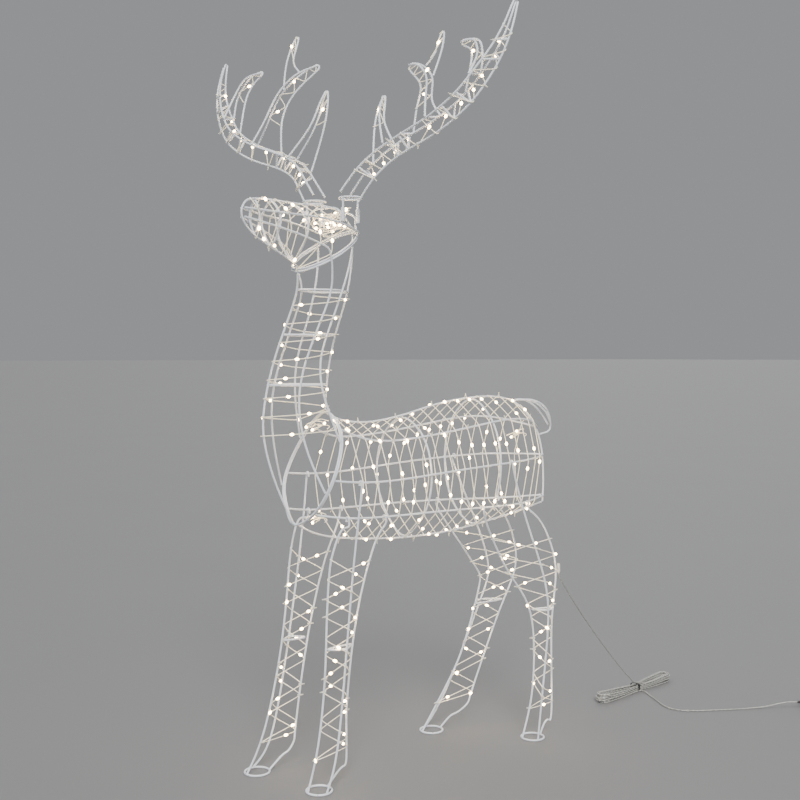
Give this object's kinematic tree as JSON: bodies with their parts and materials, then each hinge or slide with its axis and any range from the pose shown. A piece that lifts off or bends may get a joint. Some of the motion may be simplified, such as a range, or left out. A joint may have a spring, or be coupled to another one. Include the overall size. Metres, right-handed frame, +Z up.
{
  "type": "light up yard reindeer",
  "caption": "Standing wire-frame stag wound with a warm micro-light string; two antlers lift out of sockets on the head, and a supply lead leaves one rear leg.",
  "frame": {"origin": "on the ground, below the middle of the whole figure without its supply lead", "axes": "+Z up, -Y towards the nose, +X towards the stag's own left side"},
  "size_m": [0.7242, 1.4051, 1.4871],
  "materials": {
    "white_coat": "satin white powder coat on round steel wire",
    "socket_steel": "satin white powder coat, worn at the mouth",
    "light_string": "clear insulation over fine twisted wires",
    "lamp": "clear moulded bead round a warm micro lamp",
    "cable_tie": "translucent nylon",
    "lead": "clear two-core insulation",
    "joint_sleeve": "shrunk sleeve",
    "twist_tie": "flat plastic band",
    "adaptor_black": "fine moulded texture",
    "pin_metal": "plated brass"
  },
  "bodies": {
    "frame": {"spine_rail": "white_coat", "left_side_rails": "white_coat", "right_side_rails": "white_coat", "belly_rail": "white_coat", "barrel_rib": "white_coat", "rump_hoop": "white_coat", "chest_ring": "white_coat", "tail_loop": "white_coat", "neck_base_ring": "white_coat", "throat_and_nape_rails": "white_coat", "left_neck_rails": "white_coat", "right_neck_rails": "white_coat", "neck_hoops": "white_coat", "neck_top_ring": "white_coat", "skull_ring": "white_coat", "head_profile": "white_coat", "left_cheek_rail": "white_coat", "right_cheek_rail": "white_coat", "muzzle_hoops": "white_coat", "crown_arches": "white_coat", "left_sockets": "socket_steel", "right_sockets": "socket_steel", "left_front_leg": "white_coat", "right_front_leg": "white_coat", "left_rear_leg": "white_coat", "right_rear_leg": "white_coat", "knee_bands": "white_coat", "hoof_rings": "white_coat", "body_light_string": "light_string", "neck_light_string": "light_string", "head_light_string": "light_string", "leg_light_strings": "light_string", "slack_bundles": "light_string", "frame_lamps": "lamp", "frame_ties": "cable_tie", "lead_sleeve": "joint_sleeve", "supply_lead": "lead", "lead_hank": "lead", "hank_tie": "twist_tie", "lead_tail": "lead", "adaptor_sleeve": "adaptor_black", "adaptor_case": "adaptor_black", "adaptor_pins": "pin_metal"},
    "left_antler": {"left_antler_beam": "white_coat", "left_antler_tines": "white_coat", "left_antler_rungs": "white_coat", "left_antler_ring": "white_coat", "left_antler_pegs": "white_coat", "left_antler_string": "light_string", "left_antler_lamps": "lamp", "left_antler_ties": "cable_tie"},
    "right_antler": {"right_antler_beam": "white_coat", "right_antler_tines": "white_coat", "right_antler_rungs": "white_coat", "right_antler_ring": "white_coat", "right_antler_pegs": "white_coat", "right_antler_string": "light_string", "right_antler_lamps": "lamp", "right_antler_ties": "cable_tie"}
  },
  "joints": [
    {"name": "left_antler_lift", "type": "slide", "parent": "frame", "child": "left_antler", "axis": [0, 0, 1], "range_m": [0, 0.06]},
    {"name": "right_antler_lift", "type": "slide", "parent": "frame", "child": "right_antler", "axis": [0, 0, 1], "range_m": [0, 0.06]}
  ]
}
